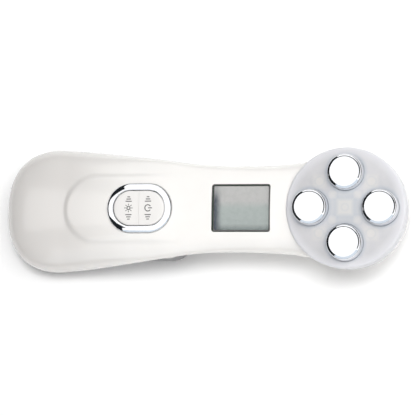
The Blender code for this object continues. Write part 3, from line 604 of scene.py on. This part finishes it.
def frosted_cap():
    """Frosted diffuser in a slightly mottled grey white. It has painted show-through of the lamps behind it
    as faint light squares and bluish shade, painted shade round each electrode, and a painted highlight
    round the rim.
    """
    s = Surface("frosted_diffuser", Transmission_Weight=0.12, IOR=1.46, Subsurface_Weight=0.15,
                Subsurface_Radius=(0.004, 0.004, 0.0045), Subsurface_Scale=0.5)
    x = s.math("SUBTRACT", s.axis("X"), HEAD_X * MM)
    y = s.axis("Y")
    across, along = s.math("ABSOLUTE", x), s.math("ABSOLUTE", y)

    def patch(centre, half, soft):
        """1 inside a square with soft edges, mirrored into all four quarters."""
        dx = s.math("ABSOLUTE", s.math("SUBTRACT", across, centre * MM))
        dy = s.math("ABSOLUTE", s.math("SUBTRACT", along, centre * MM))
        return s.span(s.math("MAXIMUM", dx, dy), (half - soft) * MM, (half + soft) * MM, 1.0, 0.0)

    base = s.ramp(s.noise(110, 4, 0.6), (0.3, CAP_DARK), (0.7, CAP_LIGHT))
    # painted shade: a bluish square over the middle, where the lamp board shows through
    shade = s.mix(s.math("MULTIPLY", patch(0.0, 5.2, 2.4), 0.75), base, CAP_BLUE)
    # painted light: warm squares where the lamps show through
    for centre, half, soft, strength in CAP_SQUARES:
        shade = s.mix(s.math("MULTIPLY", patch(centre, half, soft), strength), shade, CAP_WARM)
    # painted shade: faint bluish rings round the lamps
    for centre, radius, strength in CAP_RINGS:
        dx, dy = (s.math("SUBTRACT", value, centre * MM) for value in (across, along))
        round_off = s.math("SQRT", s.math("ADD", s.math("MULTIPLY", dx, dx), s.math("MULTIPLY", dy, dy)))
        off_line = s.math("ABSOLUTE", s.math("SUBTRACT", round_off, radius * MM))
        line = s.span(off_line, 0.15 * MM, 0.6 * MM, 1.0, 0.0)
        shade = s.mix(s.math("MULTIPLY", line, strength), shade, CAP_BLUE)
    # painted shade: a darker blue halo round each electrode hole
    far, near = s.math("MAXIMUM", across, along), s.math("MINIMUM", across, along)
    off = s.math("SUBTRACT", far, ELECTRODE_CIRCLE * MM)
    reach = s.math("SQRT", s.math("ADD", s.math("MULTIPLY", off, off), s.math("MULTIPLY", near, near)))
    halo_in, halo_out = (ELECTRODE_RADIUS + past for past in CAP_HALO_SHADE_REACH)
    halo = s.span(reach, halo_in * MM, halo_out * MM, 1.0, 0.0)
    shade = s.mix(s.math("MULTIPLY", halo, 0.5), shade, CAP_HALO_SHADE)
    # painted highlight: lighter bands round the rim and down the side
    out = s.math("SQRT", s.math("ADD", s.math("MULTIPLY", across, across), s.math("MULTIPLY", along, along)))
    for (start, end), colour in ((CAP_RIM_HIGHLIGHT_BAND, CAP_RIM_HIGHLIGHT), (CAP_SIDE_HIGHLIGHT_BAND, CAP_SIDE_HIGHLIGHT)):
        shade = s.mix(s.span(out, start * MM, end * MM, 0.0, 1.0), shade, colour)
    s.colour(shade)
    s.rough(s.span(s.noise(900, 2), 0.3, 0.7, 0.38, 0.5))
    return s.bump(s.noise(4200, 2), 4e-6).mat


def screen():
    """Display face: grey-green, with painted shading that makes it warmer and lighter towards +Y, and a
    painted dark blue reflection down its -X side.
    """
    s = Surface("display_face", Coat_Weight=0.4, Coat_Roughness=0.04)
    # painted shading: darker at -Y, lighter and warmer towards +Y
    up = s.span(s.axis("Y"), -SCREEN_SHADE_HALF * MM, SCREEN_SHADE_HALF * MM, 0.0, 1.0)
    base = s.ramp(up, (0.0, SCREEN_LOW), (0.12, SCREEN_MID), (0.5, SCREEN_MID),
                  (0.68, SCREEN_TOP), (1.0, SCREEN_TOP))
    # painted reflection: a dark blue band down the -X side, fading towards +Y
    left = s.span(s.axis("X"), (DISPLAY_X - 11.2) * MM, (DISPLAY_X - 8.6) * MM, 1.0, 0.0)
    low = s.span(s.axis("Y"), 3.5 * MM, 8.5 * MM, 1.0, 0.3)
    shade = s.mix(s.math("MULTIPLY", s.math("MULTIPLY", left, low), 0.95), base, SCREEN_BLUE)
    cells = s.tree.nodes.new("ShaderNodeTexBrick")
    cells.inputs["Scale"].default_value = 1400
    cells.inputs["Mortar Size"].default_value = 0.02
    s.link(s.place, cells.inputs["Vector"])
    shade = s.mix(s.math("MULTIPLY", cells.outputs["Fac"], 0.06), shade, SCREEN_CELLS)
    s.colour(shade)
    s.rough(s.span(s.noise(500, 2), 0.3, 0.7, 0.22, 0.34))
    return s.bump(s.noise(3000, 2), 1e-6).mat


WHITE = body_plastic()
KEY_WHITE = moulded("key_plastic", linear(228, 226, 224), linear(234, 232, 229), 0.35,
                    coat=0.15, grain=3200)
CHROME = plated("chrome_plating", (0.86, 0.87, 0.90), (0.93, 0.94, 0.96), 0.04)
BACK = back_plastic()
FROSTED = frosted_cap()
SCREEN = screen()
CLEAR = moulded("clear_lens", (0.03, 0.033, 0.035), (0.05, 0.053, 0.055), 0.03, depth=1e-7,
                Alpha=0.1, IOR=1.49)
PRINT = moulded("grey_print", linear(96, 96, 96), linear(108, 108, 107), 0.5, grain=5000)
MILKY = moulded("milky_plastic", (0.80, 0.80, 0.74), (0.88, 0.88, 0.84), 0.4)
BLACK = moulded("black_plastic", (0.018, 0.018, 0.02), (0.035, 0.035, 0.037), 0.45, depth=8e-6)
DARK_FRAME = moulded("display_mask", (0.17, 0.17, 0.165), (0.21, 0.21, 0.205), 0.5)
RUBBER = moulded("grey_rubber", (0.16, 0.16, 0.17), (0.22, 0.22, 0.23), 0.7, depth=1.5e-5)
STEEL = brushed("plated_steel", (0.52, 0.52, 0.53), (0.68, 0.68, 0.69), 0.28)
BRASS = brushed("turned_brass", (0.62, 0.47, 0.20), (0.78, 0.62, 0.32), 0.3)
BOARD = circuit("green_board", (0.01, 0.09, 0.04), (0.02, 0.14, 0.06), (0.05, 0.25, 0.10))
LAMP_BOARD = circuit("white_board", (0.62, 0.66, 0.68), (0.72, 0.76, 0.78), (0.50, 0.54, 0.58))
CELL = moulded("cell_wrap", (0.03, 0.10, 0.32), (0.05, 0.15, 0.42), 0.3, coat=0.4)
FILM = moulded("amber_film", (0.42, 0.20, 0.03), (0.55, 0.28, 0.05), 0.25)
RED = moulded("red_sleeve", (0.45, 0.01, 0.01), (0.60, 0.03, 0.02), 0.4)

NODE_FINISHES = {
    "body": WHITE, "cap": FROSTED, "chrome": CHROME, "window": CLEAR, "lcd": SCREEN, "milky": MILKY,
    "black": BLACK, "rubber": RUBBER, "steel": STEEL, "brass": BRASS, "board_green": BOARD,
    "board_white": LAMP_BOARD, "cell": CELL, "film": FILM, "red": RED,
}


def finish_nodes():
    """Give each CAD node the material of its slot."""
    for part in frame["record"]["subparts"]:
        node = frame["nodes"][part["node"]]
        node.data.materials.clear()
        node.data.materials.append(NODE_FINISHES[part["material_slot"]])
    mask = frame["nodes"]["display_frame"]
    mask.data.materials.clear()
    mask.data.materials.append(DARK_FRAME)


# ---------------------------------------------------------------- pieces

def key_frame():
    return Matrix.Translation(Vector((KEY_X, 0, KEY_SURFACE_Z)) * MM) @ Matrix.Rotation(-KEY_LEAN, 4, "Y")


def front_cover():
    shell = half_body("front_cover", True, 0.0, -GAP / 2, 84, 0.8)
    boolean(shell, half_body("hollow", True, WALL, 1.0, 24, 3.0), "DIFFERENCE")
    pocket = prism("pocket", stadium(BEZEL_HALF_STRAIGHT, BEZEL_RADIUS + BEZEL_SLIT, 40), -8, 8)
    pocket.matrix_world = key_frame()
    boolean(shell, pocket, "DIFFERENCE")
    opening = rounded_rectangle(DISPLAY_HALF_LENGTH, DISPLAY_HALF_WIDTH, DISPLAY_CORNER)
    window = prism("window", opening, 22.5, 40)
    window.location.x = DISPLAY_X * MM
    boolean(shell, window, "DIFFERENCE")
    boolean(shell, cylinder("cap_room", (HEAD_X, 0), HEAD_RADIUS + CAP_SLIT, 10, 50, 160), "DIFFERENCE")
    return done(shell, WHITE, "body", "body", "front_shell")


def bowl_profile(inset, steps=28):
    radius = HEAD_RADIUS - inset
    depth = HEAD_SEAM + BOWL_OVERRUN - inset
    rim = HEAD_SEAM - GAP / 2 if inset == 0 else HEAD_SEAM + 5
    points = [(0, rim), (radius, rim), (radius, HEAD_SEAM - 0.5)]
    for k in range(2, steps):
        a = pi / 2 * k / steps
        z = HEAD_SEAM - depth * sin(a) ** (2 / BOWL_POWER)
        points.append((radius * cos(a) ** (2 / BOWL_POWER), max(z, inset)))
    return points + [(0, inset)]


def back_cover():
    shell = half_body("back_cover", False, 0.0, -GAP / 2, 22, 1.0)
    boolean(shell, turned("bowl", bowl_profile(0.0), (HEAD_X, 0), 160), "UNION")
    boolean(shell, half_body("hollow", False, WALL, 1.0, 8, 3.0), "DIFFERENCE")
    boolean(shell, turned("bowl_hollow", bowl_profile(WALL, 12), (HEAD_X, 0), 64), "DIFFERENCE")
    for x, y, seat in SCREWS:
        high = smooth_table(SEAM_HEIGHTS, x) - GAP / 2 - 0.1
        foot = NECK_BOSS_FOOT if x > 0 else BUTT_BOSS_FOOT
        boolean(shell, cylinder("boss", (x, y), BOSS_RADIUS, seat - foot, high, 32), "UNION")
        head_room = cylinder("head_room", (x, y), SCREW_HEAD_RADIUS + GAP, seat - 20, seat, 40)
        boolean(shell, head_room, "DIFFERENCE")
        hole = cylinder("hole", (x, y), SCREW_SHANK_RADIUS + GAP, seat - 20, high + 5, 24)
        boolean(shell, hole, "DIFFERENCE")
    length, width, height = SOCKET_SIZE
    outline = rounded_rectangle(width / 2 + GAP, height / 2 + GAP, 1.2)
    slot = loft("slot", [[(x, y, SOCKET_Z + z) for y, z in outline]
                         for x in (BUTT_X - 5, SOCKET_MOUTH_X + length + GAP)])
    boolean(shell, slot, "DIFFERENCE")
    return done(shell, BACK, "body", "body", "back_shell")


def cap():
    """Domed diffuser with a rounded shoulder and holes for the electrodes."""
    foot, bevel = HEAD_SEAM + GAP, 0.25
    outer = [(HEAD_RADIUS - bevel, foot), (HEAD_RADIUS, foot + bevel)]
    inner = [(HEAD_RADIUS - CAP_WALL, foot)]
    for inset, steps, points in ((0.0, 12, outer), (CAP_WALL, 5, inner)):
        for k in range(steps + 1):
            a = pi / 2 * k / steps
            fillet = HEAD_RADIUS - CAP_EDGE_RADIUS
            points.append((CAP_EDGE_RADIUS - inset + fillet * cos(a),
                           CAP_SHOULDER_Z - inset * 0.6 + (CAP_EDGE_Z - CAP_SHOULDER_Z) * sin(a)))
        for k in range(1, steps + 1):
            r = (CAP_EDGE_RADIUS - inset) * (1 - k / steps)
            rise = CAP_TOP_Z - CAP_EDGE_Z
            drop = (rise - inset * 0.4) * (r / (CAP_EDGE_RADIUS - inset)) ** 2
            points.append((r, CAP_TOP_Z - inset - drop))
    piece = turned("frosted_cap", list(reversed(outer)) + inner, (HEAD_X, 0), 160)
    for x, y in electrode_places():
        hole = cylinder("hole", (x, y), ELECTRODE_RADIUS + ELECTRODE_SLIT, 20, 40, 96)
        boolean(piece, hole, "DIFFERENCE")
    return done(piece, FROSTED, "body", "cap", "head_cap")


def electrode_places():
    quarters = [pi / 2 * k for k in range(4)]
    return [(HEAD_X + ELECTRODE_CIRCLE * cos(a), ELECTRODE_CIRCLE * sin(a)) for a in quarters]


# Radius, and drop below the top: the flat top, a small step, a chamfer and a flared side
ELECTRODE_RIM = ((0, 0), (3.5, 0.004), (6.21, 0.012), (6.26, 0.013), (6.29, 0.03), (6.61, 0.30),
                 (6.65, 0.325), (6.8, 0.40), (6.97, 0.486), (7.13, 0.567), (7.22, 0.635), (7.32, 0.74),
                 (7.42, 0.94), (7.52, 1.4), (7.7, 2.4), (7.86, 3.3), (7.9, 3.7))


def electrodes():
    """Plated buttons: a barely crowned top, a stepped and chamfered rim and a flared side."""
    profile = [(r, ELECTRODE_TOP_Z - drop) for r, drop in ELECTRODE_RIM]
    profile += [(ELECTRODE_RADIUS, ELECTRODE_BASE_Z),
                (STEM_RADIUS, ELECTRODE_BASE_Z), (STEM_RADIUS, STEM_END_Z), (0, STEM_END_Z)]
    for k, place in enumerate(electrode_places(), 1):
        piece = turned(f"electrode_plate_{k}", profile, place, 96)
        done(piece, CHROME, "body", "chrome", f"electrode_{k}", angle=50)


def bezel():
    """Chrome ring round the keys, highest at its inner edge."""
    half = BEZEL_WIDTH / 2
    profile = [(half, -BEZEL_DEPTH)]
    for k in range(BEZEL_STEPS):
        a = pi / 2 * k / BEZEL_STEPS
        profile.append((half * (2 * cos(a) - 1), BEZEL_RISE * (0.02 + 0.98 * sin(a))))
    profile += [(-half + 0.1, BEZEL_RISE), (-half, BEZEL_RISE - 0.12), (-half, -BEZEL_DEPTH)]
    radius = BEZEL_RADIUS - half
    rings = []
    for side in (1, -1):
        for k in range(49):
            a = pi * k / 48 - pi / 2
            rings.append([(side * (BEZEL_HALF_STRAIGHT + (radius + out) * cos(a)),
                           side * (radius + out) * sin(a), up) for out, up in profile])
    ring = loft("keypad_bezel", rings, closed=True)
    ring.matrix_world = key_frame()
    return done(ring, CHROME, "body", "chrome", "button_bezel", angle=60)


# Inset from the keys' outline, and height there
KEY_TOP = ((0.0, 0.3), (0.06, 0.48), (0.17, 0.61), (0.34, 0.68), (1.2, 0.75), (2.6, 0.81),
           (4.2, 0.86), (5.8, 0.89), (7.0, 0.90))


def key_height(x, y):
    """Height of the crowned top of the keys, in their own frame."""
    inner = BEZEL_RADIUS - BEZEL_WIDTH - GAP
    out = Vector((max(abs(x) - BEZEL_HALF_STRAIGHT, 0.0), y)).length
    inset = max(inner - out, 0.0)
    for (a, za), (b, zb) in zip(KEY_TOP, KEY_TOP[1:]):
        if inset <= b:
            return za + (zb - za) * (inset - a) / (b - a)
    return KEY_TOP[-1][1]


def keys():
    """Two halves of one crowned pill; key_prints puts the print on each."""
    inner = BEZEL_RADIUS - BEZEL_WIDTH - GAP
    tops = (("lamp_key_top", "led_select_key", -1), ("power_key_top", "power_key", 1))
    for name, node, side in tops:
        rings = [[(x, y, -KEY_DEPTH) for x, y in stadium(BEZEL_HALF_STRAIGHT, inner, 32)]]
        for inset, z in KEY_TOP:
            rings.append([(x, y, z) for x, y in stadium(BEZEL_HALF_STRAIGHT, inner - inset, 32)])
        key = loft(name, rings)
        low, high = (-20, KEY_SLIT / 2) if side > 0 else (-KEY_SLIT / 2, 20)
        cut = box("cut", (low, -20, -20), (high, 20, 20))
        boolean(key, cut, "DIFFERENCE")
        key.matrix_world = key_frame()
        done(key, KEY_WHITE, node, "body", node)


# Prints on the keys
POWER_MARK_X = 4.1
LAMP_MARK_X = -4.6
BAR_REACHES = (1.4, 1.0, 0.6)    # half lengths of the level bars, from the sign outwards
BAR_START = 2.9
BAR_STEP = 0.95
POWER_SIGN_RADIUS = 1.35
POWER_SIGN_OPENING = 35          # half of it, in degrees
LAMP_SIGN_RADIUS = 0.72
LAMP_RAYS = 8
STROKE_WIDTH = 0.45
RAY_WIDTH = 0.36
STROKE_THICK = 0.1


def stroke(bm, path, width=STROKE_WIDTH, closed=False):
    """Flattened line of print over the keys' top."""
    rings = []
    count = len(path)
    for i, (x, y) in enumerate(path):
        if closed:
            before, after = path[i - 1], path[(i + 1) % count]
        else:
            before, after = path[max(i - 1, 0)], path[min(i + 1, count - 1)]
        along = Vector((after[0] - before[0], after[1] - before[1])).normalized()
        z = key_height(x, y)
        ring = []
        for k in range(8):
            a = 2 * pi * k / 8
            out, up = width / 2 * cos(a), STROKE_THICK / 2 * sin(a)
            ring.append((x - along.y * out, y + along.x * out, z + up))
        rings.append(ring)
    tube(bm, rings, closed)


def arc(x, y, radius, start, stop, steps):
    return [(x + radius * cos(radians(start + (stop - start) * k / steps)),
             y + radius * sin(radians(start + (stop - start) * k / steps))) for k in range(steps + 1)]


def key_prints():
    """Generic marks: a power sign and a shining lamp, each between two stacks of level bars."""
    marks = (("power_mark", "power_key", POWER_MARK_X, power_sign),
             ("lamp_mark", "led_select_key", LAMP_MARK_X, lamp_sign))
    for name, node, x, sign in marks:
        bm = bmesh.new()
        sign(bm, x)
        for side in (-1, 1):
            for k, reach in enumerate(BAR_REACHES):
                y = side * (BAR_START + BAR_STEP * k)
                stroke(bm, [(x - reach, y), (x, y), (x + reach, y)])
        mark = new_object(name, bm)
        mark.matrix_world = key_frame()
        done(mark, PRINT, node, "black")


def power_sign(bm, x):
    stroke(bm, arc(x, 0, POWER_SIGN_RADIUS, POWER_SIGN_OPENING, 360 - POWER_SIGN_OPENING, 28))
    stroke(bm, [(x + 0.15, 0), (x + 1.0, 0), (x + 1.85, 0)])


def lamp_sign(bm, x):
    stroke(bm, arc(x, 0, LAMP_SIGN_RADIUS, 0, 345, 23), closed=True)
    for k in range(LAMP_RAYS):
        a = 2 * pi / LAMP_RAYS * k
        stroke(bm, [(x + r * cos(a), r * sin(a)) for r in (1.2, 1.5, 1.85)], width=RAY_WIDTH)


def display():
    """Screen over its dark mask, and the clear lens that follows the front's curve."""
    face = rounded_rectangle(SCREEN_HALF_LENGTH, SCREEN_HALF_WIDTH, 0.7)
    inner = rounded_rectangle(SCREEN_HALF_LENGTH - SCREEN_BEVEL, SCREEN_HALF_WIDTH - SCREEN_BEVEL, 0.6)
    levels = ((face, SCREEN_LOW_Z), (face, SCREEN_EDGE_Z), (inner, SCREEN_TOP_Z))
    screen_face = loft("screen_face", [[(x, y, z) for x, y in outline] for outline, z in levels])
    screen_face.location = Vector((DISPLAY_X + SCREEN_SHIFT[0], SCREEN_SHIFT[1], 0)) * MM
    done(screen_face, SCREEN, "body", "lcd")
    outline = rounded_rectangle(DISPLAY_HALF_LENGTH - LENS_SLIT, DISPLAY_HALF_WIDTH - LENS_SLIT,
                                DISPLAY_CORNER)
    lens = prism("display_lens", outline, 24, 32)
    lens.location.x = DISPLAY_X * MM
    boolean(lens, half_body("skin", True, LENS_SINK, 0.0, 84, 1.5), "INTERSECT")
    boolean(lens, half_body("under", True, LENS_FLOOR, 1.0, 48, 3.0), "DIFFERENCE")
    done(lens, CLEAR, "body", "window", "display_window")


def socket():
    """Charging socket: a rounded steel mouth with its tongue."""
    length, width, height = SOCKET_SIZE
    outer = rounded_rectangle(width / 2, height / 2, 1.0)
    inner = rounded_rectangle(width / 2 - 0.4, height / 2 - 0.4, 0.7)
    x0, x1 = SOCKET_MOUTH_X, SOCKET_MOUTH_X + length
    lip = rounded_rectangle(width / 2 - 0.1, height / 2 - 0.1, 0.95)

    def ring(x, outline):
        return [(x, y, SOCKET_Z + z) for y, z in outline]

    shell = loft("socket_shell", [ring(x1 - 1.0, inner), ring(x0 + 0.05, inner), ring(x0, lip),
                                  ring(x0 + 0.15, outer), ring(x1, outer)])
    done(shell, STEEL, "body", "steel", "charge_socket")
    tongue = rounded_rectangle(width / 2 - 1.5, 0.35, 0.2, 3)
    piece = loft("socket_tongue", [ring(x0 + 1.0, tongue), ring(x1 - 1.2, tongue)])
    done(piece, BLACK, "body", "black")


# ---------------------------------------------------------------- studio

WORLD_GLOW = ((1, 0.24), (-1, 1.0))    # side of the Y axis, strength
FLOOR_GLOW = 0.07
# Name, place in metres, size, power, colour
LIGHTS = (
    ("overhead", (0.109, 0.165, 0.976), (0.34, 0.34), 5.8, (1.0, 1.0, 1.0)),
    ("head_end", (0.60, 0.31, 0.80), (0.7, 0.7), 4.7, (1.0, 1.0, 1.0)),
)
FLOOR_HALF = 6.0
CAMERA_TO_HEAD = radians(12.0)
CAMERA_TO_SIDE = radians(5.0)
CAMERA_ROLL = radians(1.0377)
CAMERA_LENS = 200.37
CAMERA_DISTANCE = 1.0
CAMERA_TARGET = (2.7436, 0.7131, 20.0)


def emitter(name, colour, strength):
    mat = bpy.data.materials.new(name)
    mat.use_nodes = True
    nodes = mat.node_tree.nodes
    nodes.clear()
    emission = nodes.new("ShaderNodeEmission")
    emission.inputs["Color"].default_value = (*colour, 1)
    emission.inputs["Strength"].default_value = strength
    output = nodes.new("ShaderNodeOutputMaterial")
    mat.node_tree.links.new(emission.outputs[0], output.inputs["Surface"])
    return mat


DOME_RADIUS = 2.6
DOME_AZIMUTHS, DOME_ELEVATIONS = 360, 90    # faces round and up
# Name, colour and strength, in the order that dome_part counts them
DOME_PARTS = (
    ("dome_bright", (1.0, 1.0, 1.0), 1.2),
    ("dome_dark", (0.75, 0.85, 1.0), 0.02),
    ("dome_blue", (0.84, 0.92, 1.0), 0.9),
)
BLUE_AZIMUTHS = (225, 330)
BLUE_TOP = 52
# Height of the dome's dark part, by azimuth, in degrees: a low arch at the head end, flags at the butt end
DARK_EDGE = ((0, 41), (22, 41), (45, 38), (60, 31), (75, 22), (88, 17), (112, 17), (116, 20), (122, 28),
             (130, 40), (138, 53), (146, 61), (153, 59), (158, 42), (162, 33), (170, 30), (186, 30),
             (188, 36), (190, 64), (203, 64), (207, 59), (216, 50), (226, 37), (231, 17), (316, 17),
             (329, 24), (344, 35), (360, 41))


def dome_part(az, el):
    """Place in DOME_PARTS, by direction in degrees."""
    k = next(k for k in range(1, len(DARK_EDGE)) if az <= DARK_EDGE[k][0])
    (az0, el0), (az1, el1) = DARK_EDGE[k - 1], DARK_EDGE[k]
    if el < el0 + (el1 - el0) * (az - az0) / (az1 - az0):
        return 1
    return 2 if BLUE_AZIMUTHS[0] < az < BLUE_AZIMUTHS[1] and el < BLUE_TOP else 0


def reflection_dome():
    """Bright tent that only reflections see, with dark flags and a pale blue patch on the -Y side."""
    bm = bmesh.new()
    rows = []
    for j in range(DOME_ELEVATIONS + 1):
        el = radians(90 * j / DOME_ELEVATIONS)
        rows.append([bm.verts.new((DOME_RADIUS * cos(el) * cos(2 * pi * i / DOME_AZIMUTHS),
                                   DOME_RADIUS * cos(el) * sin(2 * pi * i / DOME_AZIMUTHS),
                                   DOME_RADIUS * sin(el))) for i in range(DOME_AZIMUTHS)])
    for j in range(DOME_ELEVATIONS):
        el = 90 * (j + 0.5) / DOME_ELEVATIONS
        for i in range(DOME_AZIMUTHS):
            az = 360 * (i + 0.5) / DOME_AZIMUTHS
            n = (i + 1) % DOME_AZIMUTHS
            face = bm.faces.new((rows[j][i], rows[j][n], rows[j + 1][n], rows[j + 1][i]))
            face.material_index = dome_part(az, el)
    mesh = bpy.data.meshes.new("reflection_dome")
    bmesh.ops.remove_doubles(bm, verts=bm.verts, dist=1e-5)
    bm.to_mesh(mesh)
    bm.free()
    dome = bpy.data.objects.new("reflection_dome", mesh)
    bpy.context.scene.collection.objects.link(dome)
    for name, colour, strength in DOME_PARTS:
        mesh.materials.append(emitter(name, colour, strength))
    dome.visible_camera = False
    dome.visible_diffuse = False
    dome.visible_shadow = False
    dome.visible_transmission = False


def studio_world():
    """Sky that glows in two broad lobes, one towards +Y and one towards -Y."""
    world = bpy.data.worlds.new("studio")
    bpy.context.scene.world = world
    world.use_nodes = True
    nodes, links = world.node_tree.nodes, world.node_tree.links
    split = nodes.new("ShaderNodeSeparateXYZ")
    links.new(nodes.new("ShaderNodeTexCoord").outputs["Generated"], split.inputs[0])
    total = None
    for sign, glow in WORLD_GLOW:
        signed = nodes.new("ShaderNodeMath")
        signed.operation = "MULTIPLY"
        signed.inputs[1].default_value = sign
        links.new(split.outputs["Y"], signed.inputs[0])
        lobe = nodes.new("ShaderNodeMath")
        lobe.operation = "MAXIMUM"
        lobe.inputs[1].default_value = 0.0
        links.new(signed.outputs[0], lobe.inputs[0])
        add = nodes.new("ShaderNodeMath")
        add.operation = "MULTIPLY_ADD"
        add.inputs[1].default_value = glow
        add.inputs[2].default_value = 0.0
        links.new(lobe.outputs[0], add.inputs[0])
        if total:
            links.new(total, add.inputs[2])
        total = add.outputs[0]
    links.new(total, nodes["Background"].inputs["Strength"])
    nodes["Background"].inputs["Color"].default_value = (1.0, 1.0, 1.0, 1)


def studio():
    floor_mesh = bpy.data.meshes.new("floor")
    corners = [(x * FLOOR_HALF, y * FLOOR_HALF, 0) for x, y in ((-1, -1), (1, -1), (1, 1), (-1, 1))]
    floor_mesh.from_pydata(corners, [], [(0, 1, 2, 3)])
    floor = bpy.data.objects.new("floor", floor_mesh)
    bpy.context.scene.collection.objects.link(floor)
    surface = Surface("paper_floor")
    surface.colour(surface.ramp(surface.noise(8, 3), (0.3, (0.95, 0.95, 0.95)), (0.7, (0.97, 0.97, 0.97))))
    surface.rough(surface.span(surface.noise(60, 3), 0.3, 0.7, 0.8, 0.9))
    surface.shader.inputs["Specular IOR Level"].default_value = 0.1
    surface.shader.inputs["Emission Color"].default_value = (1, 1, 1, 1)
    surface.shader.inputs["Emission Strength"].default_value = FLOOR_GLOW
    floor_mesh.materials.append(surface.mat)

    studio_world()
    for name, place, size, power, colour in LIGHTS:
        light = bpy.data.lights.new(name, "AREA")
        light.shape = "RECTANGLE"
        light.size, light.size_y = size
        light.energy = power
        light.color = colour
        obj = bpy.data.objects.new(name, light)
        bpy.context.scene.collection.objects.link(obj)
        obj.location = place
        obj.rotation_euler = (Vector((0, 0, 0.02)) - Vector(place)).to_track_quat("-Z", "Y").to_euler()
        obj.visible_glossy = False
    reflection_dome()
    bpy.context.scene.view_settings.view_transform = "Standard"


def camera():
    """Long lens from above, a little towards the head end and the lower side."""
    back = Vector((tan(CAMERA_TO_HEAD), -tan(CAMERA_TO_SIDE), 1.0)).normalized()
    up = Vector((0, 1, 0))
    up = (up - back * up.dot(back)).normalized()
    right = up.cross(back)
    turn_cos, turn_sin = cos(CAMERA_ROLL), sin(CAMERA_ROLL)
    right, up = right * turn_cos + up * turn_sin, up * turn_cos - right * turn_sin
    data = bpy.data.cameras.new("camera")
    data.sensor_width = 36.0
    data.lens = CAMERA_LENS
    data.clip_end = 50
    obj = bpy.data.objects.new("camera", data)
    bpy.context.scene.collection.objects.link(obj)
    target = Vector(CAMERA_TARGET) * MM
    turn = Matrix((right, up, back)).transposed().to_4x4()
    obj.matrix_world = Matrix.Translation(target + back * CAMERA_DISTANCE) @ turn
    bpy.context.scene.camera = obj


finish_nodes()
front_cover()
back_cover()
cap()
electrodes()
bezel()
keys()
key_prints()
display()
socket()
studio()
camera()
